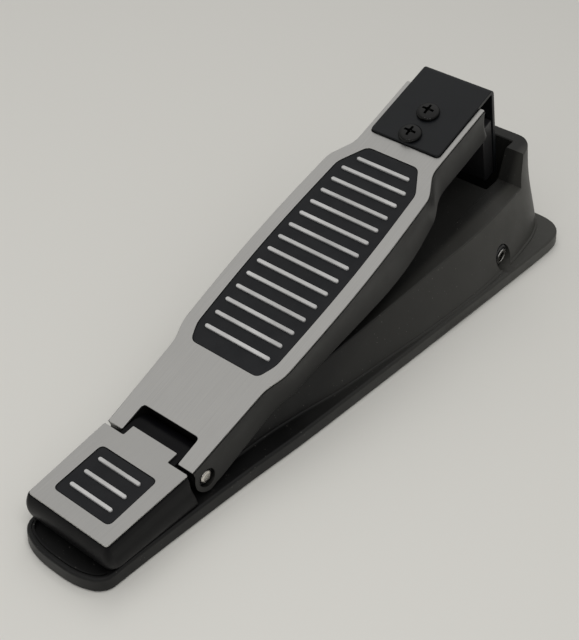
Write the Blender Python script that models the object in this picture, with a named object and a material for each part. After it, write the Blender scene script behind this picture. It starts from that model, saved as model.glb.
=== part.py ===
# Spring-return foot controller pedal: a fixed heel plate, a footboard hinged behind it, and a toe bracket
# that runs down into a slotted tower on the base.
# Lengths are millimetres in a working frame: x to the side with the socket, y from the heel edge of the heel
# plate towards the toe, z up from the housing's lower edge. to_metres() turns them into the object's frame.
import math

import bmesh
import bpy
from mathutils import Matrix, Vector

HEEL_TO_MIDDLE = 160.0            # working frame's y of the object's origin
FEET_DROP = 0.8                   # the feet reach this far below the housing's lower edge
BOARD_PITCH = math.radians(15.83)
BOARD_COS, BOARD_SIN = math.cos(BOARD_PITCH), math.sin(BOARD_PITCH)
BOARD_START = (50.4, 25.6)        # y, z where the footboard's face begins
HEEL_PITCH = math.radians(1.45)
HEEL_START = (-0.6, 25.3)         # y, z where the heel plate's face begins
PIN_Y, PIN_Z = 58.2, 15.8         # hinge pin
SWING = math.radians(4.0)         # how far the footboard goes down
FULL_TURN = 2.0 * math.pi

for left_over in list(bpy.data.objects):
    bpy.data.objects.remove(left_over, do_unlink=True)

pedal = bpy.data.collections.new("foot_controller_pedal")
cutters = bpy.data.collections.new("cutters")
bpy.context.scene.collection.children.link(pedal)
bpy.context.scene.collection.children.link(cutters)

# finish: colour, roughness, metallic
FINISHES = {
    "base plastic": ((0.025, 0.025, 0.025), 0.50, 0.0),
    "heel plastic": ((0.015, 0.015, 0.016), 0.42, 0.0),
    "board plastic": ((0.020, 0.020, 0.020), 0.42, 0.0),
    "small plastic": ((0.013, 0.013, 0.014), 0.38, 0.0),
    "brushed silver": ((0.62, 0.62, 0.60), 0.38, 1.0),
    "grip silver": ((0.50, 0.50, 0.50), 0.42, 0.0),
    "tread rubber": ((0.016, 0.017, 0.019), 0.70, 0.0),
    "soft rubber": ((0.014, 0.014, 0.014), 0.78, 0.0),
    "black steel": ((0.022, 0.023, 0.025), 0.45, 0.0),
    "black screw": ((0.050, 0.050, 0.050), 0.28, 1.0),
    "zinc": ((0.60, 0.60, 0.61), 0.32, 1.0),
    "bright steel": ((0.70, 0.69, 0.66), 0.25, 1.0),
    "circuit green": ((0.020, 0.150, 0.060), 0.35, 0.0),
    "red wire": ((0.30, 0.03, 0.02), 0.40, 0.0),
}


# ------------------------------------------------------------------ frames
def working(x, y, z):
    return (x, y, z)


def on_board(x, s, n):
    """Footboard frame: s runs up the board from its heel end, n out of its face."""
    return (x, BOARD_START[0] + s * BOARD_COS - n * BOARD_SIN, BOARD_START[1] + s * BOARD_SIN + n * BOARD_COS)


def on_heel(x, s, n):
    """Heel plate frame: s runs from its front edge towards the hinge, n out of its face."""
    c, q = math.cos(HEEL_PITCH), math.sin(HEEL_PITCH)
    return (x, HEEL_START[0] + s * c - n * q, HEEL_START[1] + s * q + n * c)


def board_height(y, n):
    """Height, at y, of the plane that lies n above the footboard's face."""
    s = (y - BOARD_START[0] + n * BOARD_SIN) / BOARD_COS
    return BOARD_START[1] + s * BOARD_SIN + n * BOARD_COS


def to_metres(x, y, z):
    return Vector((x, y - HEEL_TO_MIDDLE, z + FEET_DROP)) / 1000.0


# ------------------------------------------------------------------ outlines
def mirrored(half):
    """Right-hand half outline, front to rear, made whole."""
    return half + [(-x, y) for x, y in reversed(half) if x > 1e-6]


def both_sides(half):
    """Like mirrored(), for a half outline whose ends stand off the middle."""
    return half + [(-x, y) for x, y in reversed(half)]


def inset(points, d):
    """A counter-clockwise outline moved inwards by d."""
    moved = []
    for i, here in enumerate(points):
        before, corner = Vector(points[i - 1]), Vector(here)
        after = Vector(points[(i + 1) % len(points)])
        e1, e2 = (corner - before).normalized(), (after - corner).normalized()
        across = Vector((-e1.y - e2.y, e1.x + e2.x))
        q = corner + across * (2.0 * d / max(across.length_squared, 1e-9))
        moved.append((q.x, q.y))
    return moved


def rounded(x0, x1, y0, y1, r, steps=4):
    """Counter-clockwise rounded rectangle."""
    corners = ((x1 - r, y0 + r, -90), (x1 - r, y1 - r, 0), (x0 + r, y1 - r, 90), (x0 + r, y0 + r, 180))
    out = []
    for cx, cy, first in corners:
        for i in range(steps + 1):
            a = math.radians(first + 90.0 * i / steps)
            out.append((cx + r * math.cos(a), cy + r * math.sin(a)))
    return out


def rectangle(x0, x1, y0, y1):
    return [(x0, y0), (x1, y0), (x1, y1), (x0, y1)]


def softened(points, radii, steps=3):
    """Every corner of a closed outline rounded over its own distance."""
    out = []
    for i, here in enumerate(points):
        before, corner = Vector(points[i - 1]), Vector(here)
        after = Vector(points[(i + 1) % len(points)])
        r = radii[i] if isinstance(radii, list) else radii
        if r == 0.0:
            out.append(here)
            continue
        start = corner + (before - corner).normalized() * min(r, (before - corner).length * 0.45)
        end = corner + (after - corner).normalized() * min(r, (after - corner).length * 0.45)
        for k in range(steps + 1):
            t = k / steps
            q = start * (1 - t) ** 2 + corner * 2 * t * (1 - t) + end * t ** 2
            out.append((q.x, q.y))
    return out


# ------------------------------------------------------------------ solids
def solid(name, verts, faces, finish):
    """A closed mesh facing outwards. Without a finish it is a cutter or a piece to be joined on."""
    mesh = bpy.data.meshes.new(name)
    mesh.from_pydata([to_metres(*v) for v in verts], [], faces)
    bm = bmesh.new()
    bm.from_mesh(mesh)
    bmesh.ops.recalc_face_normals(bm, faces=bm.faces)
    bm.to_mesh(mesh)
    bm.free()
    obj = bpy.data.objects.new(name, mesh)
    if finish is None:
        cutters.objects.link(obj)
        obj.hide_render = True
        obj.display_type = "WIRE"
        return obj
    pedal.objects.link(obj)
    colour, rough, metal = FINISHES[finish]
    material = bpy.data.materials.new(f"{name} {finish}")
    material.use_nodes = True
    shader = material.node_tree.nodes["Principled BSDF"]
    shader.inputs["Base Color"].default_value = (*colour, 1.0)
    shader.inputs["Roughness"].default_value = rough
    shader.inputs["Metallic"].default_value = metal
    mesh.materials.append(material)
    return obj


def loft(name, rings, finish=None, frame=working):
    """Solid through rings that have the same number of points."""
    n = len(rings[0])
    verts = [frame(*p) for ring in rings for p in ring]
    faces = []
    for k in range(len(rings) - 1):
        for i in range(n):
            j = (i + 1) % n
            faces.append((k * n + i, k * n + j, (k + 1) * n + j, (k + 1) * n + i))
    faces.append(tuple(range(n - 1, -1, -1)))
    faces.append(tuple((len(rings) - 1) * n + i for i in range(n)))
    return solid(name, verts, faces, finish)


def prism(name, outline, low, high, finish=None, frame=working, axis="z"):
    """Outline swept from low to high along an axis of the frame."""
    def put(a, b, h):
        return {"z": (a, b, h), "x": (h, a, b), "y": (a, h, b)}[axis]
    return loft(name, [[put(a, b, h) for a, b in outline] for h in (low, high)], finish, frame)


def around(centre, axis, r, h, angle):
    """The point at a radius, a distance along the axis, and an angle round it."""
    u, v = r * math.cos(angle), r * math.sin(angle)
    x, y, z = centre
    return {"z": (x + u, y + v, z + h), "x": (x + h, y + u, z + v), "y": (x + u, y + h, z + v)}[axis]


def turned(name, centre, axis, profile, segments=24, finish=None, frame=working):
    """Solid of revolution: the profile is (radius, distance along the axis) from end to end."""
    rings = [[around(centre, axis, r, h, FULL_TURN * i / segments) for i in range(segments)]
             for r, h in profile]
    return loft(name, rings, finish, frame)


def sleeve(name, centre, axis, outer, inner, low, high, segments, finish):
    """Plain ring with a bore."""
    verts = []
    for r, h in ((outer, low), (outer, high), (inner, high), (inner, low)):
        verts += [around(centre, axis, r, h, FULL_TURN * i / segments) for i in range(segments)]
    faces = []
    for k in range(4):
        for i in range(segments):
            j, after = (i + 1) % segments, (k + 1) % 4
            faces.append((k * segments + i, k * segments + j, after * segments + j, after * segments + i))
    return solid(name, verts, faces, finish)


def wire(name, path, radius, sides, finish):
    """Round wire along a path."""
    rings = []
    for i, p in enumerate(path):
        along = (Vector(path[min(i + 1, len(path) - 1)]) - Vector(path[max(i - 1, 0)])).normalized()
        side = along.cross(Vector((0, 0, 1)))
        side = side.normalized() if side.length > 1e-4 else Vector((1, 0, 0))
        up = side.cross(along).normalized()
        ring = []
        for k in range(sides):
            a = FULL_TURN * k / sides
            ring.append(tuple(Vector(p) + radius * (math.cos(a) * side + math.sin(a) * up)))
        rings.append(ring)
    return loft(name, rings, finish)


def combine(part, operation, tools):
    for tool in tools:
        m = part.modifiers.new(tool.name, "BOOLEAN")
        m.operation = operation
        m.solver = "EXACT"
        m.object = tool
    return part


def cut(part, *tools):
    return combine(part, "DIFFERENCE", tools)


def join(part, *tools):
    return combine(part, "UNION", tools)


# ------------------------------------------------------------------ base housing
FLANGE_HALF = [(0, -11.9), (6, -11.8), (12, -11.1), (17, -9.7), (20.8, -8.0), (23.5, -5.7), (25.1, -3.0),
               (25.7, 0.5), (26.1, 5), (27.5, 18.5), (30.9, 47.6), (35.0, 80), (39.3, 109), (44.4, 151),
               (50.6, 205), (57.2, 264.6), (61.1, 303), (61.8, 313), (61.2, 319.6), (58.8, 324.8),
               (54.6, 328.4), (49.0, 330.2), (40, 330.8), (0, 330.8)]
FLANGE = mirrored(FLANGE_HALF)
FLANGE_TOP = 7.5
# wedge from heel to toe: y, half width at the flange, half width at the deck, deck height
WEDGE = [(73.6, 22.6, 20.0, 13.8), (80.0, 23.8, 20.7, 15.0), (101, 26.8, 22.6, 18.6), (121, 31.0, 25.4, 21.8),
         (144.7, 36.9, 29.1, 25.4), (172, 41.6, 32.9, 28.9), (201, 46.5, 36.6, 32.2), (223, 49.6, 38.7, 34.2),
         (253, 52.6, 41.2, 35.5), (283, 53.3, 41.2, 36.3), (300, 51.8, 39.9, 36.4), (318, 47.8, 36.9, 36.4)]
SIDE_WALL, DECK_THICK = 2.7, 2.6
COVER_SCREWS = [(14.0, 92.0), (-14.0, 92.0), (30.0, 236.0), (-30.0, 236.0)]
SOCKET_Y, SOCKET_Z = 275.5, 13.6
STOP_STATION = 168.0                 # stop bolt and return spring, along the footboard
STOP_Y = on_board(0, STOP_STATION, -14.0)[1]
SPRING_SEAT = 34.6


def deck_height(y):
    for a, b in zip(WEDGE, WEDGE[1:]):
        if a[0] <= y <= b[0]:
            return a[3] + (b[3] - a[3]) * (y - a[0]) / (b[0] - a[0])
    return WEDGE[-1][3]


def wedge_section(y, foot, edge, top, r=1.0):
    """Cross section of the wedge, with the deck's edges rounded by about r."""
    k = (foot - edge) / (top - 7.0)
    half = [(foot, 3.0), (edge + k * r * 0.9, top - r), (edge - r * 0.25, top - r * 0.25), (edge - r, top)]
    return [(-foot, y, 3.0)] + [(x, y, z) for x, z in half] + [(-x, y, z) for x, z in half[:0:-1]]


def tower_ring(z, front_x, front_y, side_x, rear_y, r, steps=6):
    half = [(0, front_y), (front_x, front_y), (side_x, max(front_y, (front_y + rear_y - r) / 2))]
    for i in range(steps + 1):
        a = math.radians(90.0 * i / steps)
        half.append((side_x - r + r * math.cos(a), rear_y - r + r * math.sin(a)))
    half.append((0, rear_y))
    return [(x, y, z) for x, y in mirrored(half)]


def tower_arm_hollow(side):
    """Hollow in one of the tower's two arms beside the slot."""
    rings = []
    for z, outer, front, rear in ((-2.0, 43.0, 306.0, 324.5), (8.0, 42.0, 307.0, 324.5),
                                  (36.0, 35.6, 311.6, 324.8), (51.0, 33.9, 315.0, 325.0)):
        plan = [(28.2, front), (outer, front), (outer, rear - 6), (outer - 5, rear), (28.2, rear)]
        rings.append([(side * x, y, z) for x, y in plan])
    return loft("tower_arm_hollow", rings)


def make_base_housing():
    layers = ((0.0, 0.0), (5.6, 0.5), (6.9, 1.1), (FLANGE_TOP, 2.2))
    outlines = [[(x, y, z) for x, y in (inset(FLANGE, d) if d else FLANGE)] for z, d in layers]
    base = loft("base_housing", outlines,
                "base plastic")
    tower_foot = (50.9, 303.0, 49.6, 329.2, 15.0)
    tower = loft("tower", [tower_ring(3.0, *tower_foot), tower_ring(7.0, *tower_foot),
                           tower_ring(36.0, 39.3, 308.0, 40.0, 329.0, 13.0),
                           tower_ring(54.4, 35.9, 312.0, 36.6, 328.6, 11.5),
                           tower_ring(55.0, 35.5, 312.4, 36.1, 328.1, 11.2)])
    join(base, loft("wedge", [wedge_section(*row) for row in WEDGE]), tower)

    inside = [(y, foot - 3.4, edge - SIDE_WALL, top - DECK_THICK) for y, foot, edge, top in WEDGE[:-1]]
    inside.append((317.0, 44.4, 34.0, 33.4))
    hollow = loft("hollow", [[(-foot, y, -2.0), (foot, y, -2.0), (edge, y, top), (-edge, y, top)]
                             for y, foot, edge, top in inside])
    cut(hollow, prism("socket_seat", rectangle(42.0, 70.0, 264.5, 286.5), 2.6, 24.0))
    cut(base, hollow, tower_arm_hollow(1), tower_arm_hollow(-1),
        prism("cover_seat", inset(FLANGE, 2.9), -2.0, 2.5),
        prism("bracket_slot", rounded(-25.4, 25.4, 295.5, 320.0, 1.2, 2), 9.0, 80.0))
    step = [p for p in inset(FLANGE, 3.4) if p[1] < 1.0]
    right = sorted((p for p in step if p[0] >= 0), key=lambda p: p[1])
    left = sorted((p for p in step if p[0] < 0), key=lambda p: -p[1])
    cut(base, prism("heel_crescent", right + left, 6.2, 20.0),
        turned("socket_recess", (0, SOCKET_Y, SOCKET_Z), "x", [(6.9, 47.2), (6.9, 62.0)], 28),
        turned("socket_hole", (0, SOCKET_Y, SOCKET_Z), "x", [(4.7, 40.0), (4.7, 50.0)], 20))
    boss = [(11.0, 30.2), (11.0, 34.3), (10.7, SPRING_SEAT)]
    join(base, turned("spring_boss", (0, STOP_Y, 0), "z", boss, 28))
    cut(base, turned("stop_bolt_hole", (0, STOP_Y, 0), "z", [(4.6, 10.0), (4.6, 60.0)], 20))
    for x, y in COVER_SCREWS:
        join(base, turned("screw_boss", (x, y, 0), "z", [(3.6, 2.6), (3.6, deck_height(y) - 1.0)], 14))
        cut(base, turned("screw_pilot", (x, y, 0), "z", [(1.35, -2.0), (1.35, 11.0)], 10))


# ------------------------------------------------------------------ bottom cover, feet, circuit board
FEET = [(0.0, 4.0, 17.0, 6.5), (34.0, 176.0, 5.5, 17.0), (-34.0, 176.0, 5.5, 17.0), (0.0, 318.0, 38.0, 7.0)]
BOARD_SCREWS = [(-16.0, 240.0), (16.0, 258.0)]


def make_underside():
    cover = prism("bottom_cover", inset(FLANGE, 3.2), 0.25, 2.3, "base plastic")
    head = [(2.0, 0.35), (2.9, 0.45), (2.9, 1.1), (1.2, 1.35), (1.2, 9.5), (0.5, 10.4)]
    for i, (x, y) in enumerate(COVER_SCREWS):
        cut(cover, turned("screw_head_seat", (x, y, 0), "z", [(3.3, -1.0), (3.3, 1.35)], 14),
            turned("screw_clearance", (x, y, 0), "z", [(1.7, -1.0), (1.7, 5.0)], 12))
        turned(f"cover_screw_{i + 1}", (x, y, 0), "z", head, 12, "zinc")
    for i, (x, y, half_x, half_y) in enumerate(FEET):
        prism(f"rubber_foot_{i + 1}", rounded(x - half_x, x + half_x, y - half_y, y + half_y, 4.0, 3),
              -FEET_DROP, 0.2, "soft rubber")

    circuit = prism("circuit_board", rectangle(-21.0, 21.0, 236.0, 262.0), 9.0, 10.6, "circuit green")
    shank = [(1.0, 3.4), (1.0, 10.7), (2.6, 10.7), (2.6, 11.7), (1.5, 12.3)]
    for i, (x, y) in enumerate(BOARD_SCREWS):
        join(cover, turned("standoff", (x, y, 0), "z", [(3.2, 1.5), (3.2, 8.9)], 14))
        cut(cover, turned("standoff_pilot", (x, y, 0), "z", [(1.15, 3.0), (1.15, 12.0)], 10))
        cut(circuit, turned("board_hole", (x, y, 0), "z", [(1.6, 5.0), (1.6, 15.0)], 10))
        turned(f"board_screw_{i + 1}", (x, y, 0), "z", shank, 12, "zinc")


# ------------------------------------------------------------------ heel block, heel plate, pad and bars
PLATE_THICK, PAD_DROP = 0.9, 0.35
BAR_LOW, BAR_TOP = -0.3, 0.7
HEEL_HALF = [(0.0, -0.4), (16.0, -0.4), (20.6, -0.4), (22.8, 0.2), (23.5, 1.9), (23.7, 8.0), (24.4, 27.0),
             (25.2, 46.9), (0.0, 46.9)]
# bulge of the block below the plate: height, growth at the sides, at the front and at the rear
HEEL_BULGE = [(7.9, 0.6, -0.6, 2.2), (9.5, 1.3, 0.8, 2.1), (13.0, 1.9, 2.2, 1.6), (17.5, 1.9, 2.5, 1.0),
              (21.5, 1.2, 1.7, 0.8), (24.2, 0.4, 0.5, 0.6)]
HEEL_PAD = rounded(-16.5, 16.5, 8.4, 37.9, 2.6, 3)
WINDOW_GAP = 0.25                    # between an inlay and its plate


def heel_ring(z, side, front, rear):
    ring = []
    for x, y in mirrored(HEEL_HALF):
        grown_y = y
        if y > 40:
            grown_y += rear
        elif y < 1.0:
            grown_y -= front
        elif y < 5.0:
            grown_y -= front * 0.5
        grown_x = x
        if abs(x) > 20:
            flare = 3.2 * (y + 0.4) / 47.3 * max(0.0, 17.5 - z) / 9.6
            grown_x += math.copysign(side + flare, x)
        lift = y * math.tan(HEEL_PITCH) if z > 20 else 0.0
        ring.append((grown_x, grown_y, z + lift))
    return ring


def make_heel():
    block = loft("heel_block", [heel_ring(*row) for row in HEEL_BULGE], "heel plastic")
    cut(block, prism("underside_trim", rectangle(-40, 40, -20, 60), 7.0, 7.62))
    web = [(40.0, 7.9), (PIN_Y + 1.5, 7.9), (PIN_Y + 1.5, 20.0), (PIN_Y, PIN_Z + 10.1), (40.0, 24.6)]
    barrel = [(9.6, -16.3), (10.2, -15.7), (10.2, 15.7), (9.6, 16.3)]
    join(block, turned("knuckle", (0, PIN_Y, PIN_Z), "x", barrel, 32),
         prism("knuckle_web", web, -16.3, 16.3, axis="x"))
    cut(block, turned("pin_bore", (0, PIN_Y, PIN_Z), "x", [(3.55, -40.0), (3.55, 40.0)], 20),
        prism("floor_level", rectangle(-60, 60, -30, 90), -5.0, 7.75),
        loft("block_hollow", [[(x, y, 5.0) for x, y in rounded(-20.0, 20.0, 3.0, 43.0, 3.0, 2)],
                              [(x, y, 21.0) for x, y in rounded(-19.6, 19.6, 3.2, 38.0, 3.0, 2)]]),
        prism("wedge_clearance", rectangle(-60, 60, 72.8, 100), -5.0, 14.2))

    outline = [(23.4, 0), (25.1, 48.2), (13.3, 48.2), (13.3, 54.6), (-13.3, 54.6), (-13.3, 48.2),
               (-25.1, 48.2), (-23.4, 0)]
    outline = softened(outline, [1.6, 0.8, 0.9, 0.6, 0.6, 0.9, 0.8, 1.6], 2)
    plate = prism("heel_plate", outline, -PLATE_THICK, 0.0, "brushed silver", on_heel)
    cut(plate, prism("pad_window", inset(HEEL_PAD, -WINDOW_GAP), -5, 5, frame=on_heel))
    prism("heel_pad", HEEL_PAD, -PLATE_THICK, -PAD_DROP, "tread rubber", on_heel)
    for i in range(3):
        make_bar(f"heel_bar_{i + 1}", 12.4, 31.7 - 8.6 * i, 1.9, on_heel)


def make_bar(name, half, s, width, frame):
    """Raised grip bar with round ends and broken top edges."""
    rings = []
    for d, n in ((0.0, BAR_LOW), (0.0, BAR_TOP - 0.3), (0.35, BAR_TOP)):
        r = width / 2 - d
        ring = []
        for side, first in ((1, -90), (-1, 90)):
            for i in range(5):
                a = math.radians(first + 45.0 * i)
                ring.append((side * (half - width / 2) + r * math.cos(a), s + r * math.sin(a), n))
        rings.append(ring)
    return loft(name, rings, "grip silver", frame)


# ------------------------------------------------------------------ footboard
PLATE_BOW, TREAD_BOW = 1.8, 1.6       # how far the long sides bulge in the middle


def bowed(x, start, end, bulge, steps=8):
    """Points along a side that bulges outwards between its two corners."""
    return [(x + bulge * math.sin(math.pi * k / steps), start + (end - start) * k / steps)
            for k in range(steps + 1)]


PLATE_SIDE = [(27.2, 50.0)] + bowed(30.8, 60.4, 180.0, PLATE_BOW) + [(23.5, 194.0), (23.7, 243.0)]
TREAD_SIDE = [(19.9, 53.7)] + bowed(23.7, 62.8, 178.2, TREAD_BOW) + [(15.2, 193.4)]
TREAD = softened(TREAD_SIDE + [(-x, s) for x, s in reversed(TREAD_SIDE)], 2.8)
TREAD_BARS, FIRST_BAR, BAR_STEP, BAR_WIDTH = 15, 63.8, 8.64, 2.05
# lower edge of the side skirts: station along the board, depth below its face
RIM = [(250.0, -16.8), (238.0, -17.2), (200.0, -16.9), (190.0, -16.4), (178.0, -16.2), (168.0, -19.4),
       (158.0, -21.4), (148.0, -22.0), (135.0, -21.2), (116.0, -18.4), (100.0, -16.2), (84.0, -14.7),
       (68.0, -13.4), (55.0, -14.0), (41.0, -15.8), (26.0, -17.0), (16.0, -18.0)]
EAR_RADIUS, BUSH_OUTER, BUSH_INNER = 7.0, 4.6, 3.48
PIN_HALF, BUSH_END = 26.0, 24.9
SPRING_TOP_SEAT = 62.0
SIDE_ROUND = [3.5, 3.5] + [0.0] * 7 + [4.0, 4.0, 0.6]     # one radius for each point of PLATE_SIDE
BRACKET_HALF, BRACKET_START, SCREW_STATIONS = 20.7, 203.8, (210.0, 226.9)


def board_outline(ears, ear_round, notch, notch_round):
    """Plan of the board: its two heel ears, its long sides, and the notch between the ears."""
    half_round = [ear_round, ear_round] + SIDE_ROUND
    return softened(both_sides(ears + PLATE_SIDE) + notch, half_round + half_round[::-1] + [notch_round] * 2)


def board_plan(grow):
    """Plan of the board's body, its outer sides moved out by grow."""
    outline = board_outline([(17.2, -6.0), (25.3, -6.0)], 0.4, [(-17.2, 15.8), (17.2, 15.8)], 1.8)
    return [(x + math.copysign(grow, x) if abs(x) > 18.0 else x, s) for x, s in outline]


def side_profile():
    """Side view of the footboard's body, with round ears at the pin."""
    ear_s = (PIN_Y - BOARD_START[0]) * BOARD_COS + (PIN_Z - BOARD_START[1]) * BOARD_SIN
    ear_n = -(PIN_Y - BOARD_START[0]) * BOARD_SIN + (PIN_Z - BOARD_START[1]) * BOARD_COS
    profile = [(250.0, 5.0)] + RIM
    for i in range(9):
        a = math.radians(-70 - 110.0 * i / 8)
        profile.append((ear_s + EAR_RADIUS * math.cos(a), ear_n + EAR_RADIUS * math.sin(a)))
    return profile + [(ear_s - 6.4, ear_n + 3.6), (-0.2, -4.4), (-0.2, 5.0)]


def make_footboard():
    outline = board_outline([(16.9, -0.3), (25.3, -0.3)], 0.8, [(-16.9, 15.0), (16.9, 15.0)], 2.2)
    plate = prism("footboard_plate", outline, -PLATE_THICK, 0.0, "brushed silver", on_board)
    bay = rounded(-BRACKET_HALF - 0.35, BRACKET_HALF + 0.35, BRACKET_START - 0.35, 300, 2.6, 3)
    cut(plate, prism("tread_window", inset(TREAD, -WINDOW_GAP), -5, 5, frame=on_board),
        prism("bracket_bay", bay, -5, 5, frame=on_board))
    prism("tread_pad", TREAD, -PLATE_THICK, -PAD_DROP, "tread rubber", on_board)
    for i in range(TREAD_BARS):
        half = 15.8 if i == TREAD_BARS - 1 else 19.4 + 1.9 * math.sin(math.pi * (i / 13.0) ** 0.85)
        make_bar(f"tread_bar_{i + 1:02d}", half, FIRST_BAR + BAR_STEP * i, BAR_WIDTH, on_board)

    body = loft("footboard_body", [[(x, s, -1.0) for x, s in board_plan(0.0)],
                                   [(x, s, -30.0) for x, s in board_plan(1.3)]], "board plastic", on_board)
    combine(body, "INTERSECT", [prism("side_profile", side_profile(), -60, 60, frame=on_board, axis="x")])
    inner = both_sides([(22.9, 18.4), (24.6, 50.0), (28.3, 61.2), (28.3, 179.2), (21.0, 193.4),
                        (21.2, 240.2)])
    inner = softened(inner, 2.0, 2)
    cut(body, loft("underside", [[(x, s, -3.4) for x, s in inner],
                                 [(x + math.copysign(1.2, x), s, -40.0) for x, s in inner]], frame=on_board),
        prism("cross_gap", rectangle(-21.8, 21.8, 14.0, 20.0), -40.0, -12.0, frame=on_board),
        turned("ear_bore_right", (0, PIN_Y, PIN_Z), "x", [(4.72, 15.0), (4.72, 40.0)]),
        turned("ear_bore_left", (0, PIN_Y, PIN_Z), "x", [(4.72, -40.0), (4.72, -15.0)]))
    circle = [around((0, STOP_Y, 0), "z", 10.6, 0, FULL_TURN * i / 24)[:2] for i in range(24)]
    join(body, loft("spring_seat", [[(x, y, SPRING_TOP_SEAT) for x, y in circle],
                                    [(x, y, board_height(y, -2.0)) for x, y in circle]]))
    cut(body, turned("stop_bolt_bore", (0, STOP_Y, 0), "z", [(2.2, 55.0), (2.2, 66.6)], 14))
    cut(body, *[bracket_hole(s) for s in SCREW_STATIONS])


# ------------------------------------------------------------------ toe bracket, its screws, guide block
SHEET, BEND_OUTER, LEG_FACE, LEG_END = 2.3, 3.7, 257.4, -62.2
FINGER_STATION, FINGER_END = 248.4, -70.0


def bracket_hole(s):
    return turned("bracket_hole", (0, s, 0), "z", [(3.3, -8.0), (3.3, 4.0)], 14, frame=on_board)


def bracket_side():
    """Side view of the bent sheet: along the board, round the bend, and down its leg."""
    bend_s, bend_n, inner = LEG_FACE - BEND_OUTER, -2.3, BEND_OUTER - SHEET
    side = [(BRACKET_START, -PLATE_THICK), (bend_s, -PLATE_THICK)]
    for i in range(1, 4):
        a = math.radians(90 - 22.5 * i)
        side.append((bend_s + inner * math.cos(a), bend_n + inner * math.sin(a)))
    side += [(LEG_FACE - SHEET, bend_n), (LEG_FACE - SHEET, LEG_END), (LEG_FACE, LEG_END), (LEG_FACE, bend_n)]
    for i in range(1, 5):
        a = math.radians(18.0 * i)
        side.append((bend_s + BEND_OUTER * math.cos(a), bend_n + BEND_OUTER * math.sin(a)))
    return side + [(bend_s, bend_n + BEND_OUTER), (BRACKET_START, bend_n + BEND_OUTER)]


def make_bracket():
    bracket = prism("bracket", bracket_side(), -BRACKET_HALF, BRACKET_HALF, "black steel", on_board, "x")
    corners = rounded(-BRACKET_HALF, BRACKET_HALF, BRACKET_START, 300, 2.4, 3)
    combine(bracket, "INTERSECT", [prism("bracket_corners", corners, -80, 10, frame=on_board)])
    pan_head = [(2.4, -10.2), (2.9, -9.6), (2.9, 1.45), (5.9, 1.45), (6.1, 2.1), (5.9, 2.8), (5.1, 3.6),
                (3.8, 4.2), (1.8, 4.5)]
    for i, s in enumerate(SCREW_STATIONS):
        cut(bracket, bracket_hole(s))
        turned(f"bracket_screw_{i + 1}", (0, s, 0), "z", pan_head, 20, "black screw", on_board)
        nut = turned(f"bracket_nut_{i + 1}", (0, s, 0), "z", [(5.75, -8.6), (5.75, -3.7)], 6, "zinc",
                     on_board)
        cut(nut, turned("nut_thread", (0, s, 0), "z", [(3.0, -12.0), (3.0, 0.0)], 14, frame=on_board))

    front, back = LEG_FACE - SHEET - 8.9, LEG_FACE - SHEET - 0.2
    side = softened([(front, -20.0), (back, -20.0), (back, -61.2), (back - 1.5, -61.4), (front, -61.4)],
                    [0.8, 0.3, 0.3, 0.3, 1.2], 2)
    guide = prism("guide_block", side, -20.0, 20.0, "small plastic", on_board, "x")
    finger = rectangle(-16.6, -12.4, FINGER_STATION - 2.0, FINGER_STATION + 2.0)
    join(guide, prism("sensor_finger", finger, FINGER_END, -60.0, frame=on_board))


# ------------------------------------------------------------------ hinge, return spring, stops
def make_hinge():
    ends = [(2.8, -PIN_HALF), (3.4, 0.5 - PIN_HALF), (3.4, PIN_HALF - 0.5), (2.8, PIN_HALF)]
    turned("hinge_pin", (0, PIN_Y, PIN_Z), "x", ends, 24, "bright steel")
    for name, low, high in (("hinge_bush_right", 17.4, BUSH_END), ("hinge_bush_left", -BUSH_END, -17.4)):
        sleeve(name, (0, PIN_Y, PIN_Z), "x", BUSH_OUTER, BUSH_INNER, low, high, 24, "small plastic")


def make_spring():
    """Compression spring with closed ends, between the deck's boss and the footboard's seat."""
    low, high = SPRING_SEAT + 0.1, SPRING_TOP_SEAT - 0.1
    radius, thick, turns, steps, end_rise = 8.4, 0.75, 6.5, 12, 0.075
    count = int(turns * steps)
    ends = 1.0 / turns
    path = []
    for i in range(count + 1):
        t = i / count
        if t < ends:
            rise = t / ends * end_rise
        elif t > 1 - ends:
            rise = 1 - (1 - t) / ends * end_rise
        else:
            rise = end_rise + (t - ends) / (1 - 2 * ends) * (1 - 2 * end_rise)
        z = low + thick + rise * (high - low - 2 * thick)
        path.append(around((0, STOP_Y, z), "z", radius, 0.0, FULL_TURN * turns * t))
    wire("return_spring", path, thick, 6, "bright steel")


BUMPER_Y = 150.0


def bumper_top(y):
    """Just below the footboard's underside when the footboard is all the way down."""
    across, up = BUMPER_Y - PIN_Y, board_height(BUMPER_Y, -3.4) - PIN_Z
    pressed_y = PIN_Y + across * math.cos(SWING) + up * math.sin(SWING)
    pressed_z = PIN_Z + up * math.cos(SWING) - across * math.sin(SWING)
    return pressed_z + (y - pressed_y) * math.tan(BOARD_PITCH - SWING) - 0.4


def make_stops():
    bolt = [(4.9, 22.8), (5.2, 23.2), (5.2, 25.6), (2.0, 25.6), (2.0, 65.6), (1.5, 66.2)]
    turned("stop_bolt", (0, STOP_Y, 0), "z", bolt, 16, "zinc")
    sleeve("stop_washer", (0, STOP_Y, 0), "z", 7.2, 2.2, 25.75, 30.05, 20, "soft rubber")
    plan = rounded(-8.0, 8.0, BUMPER_Y - 8, BUMPER_Y + 8, 3.0, 3)
    loft("down_bumper", [[(x, y, deck_height(y) + 0.12) for x, y in plan],
                         [(x, y, bumper_top(y)) for x, y in plan]], "soft rubber")


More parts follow.
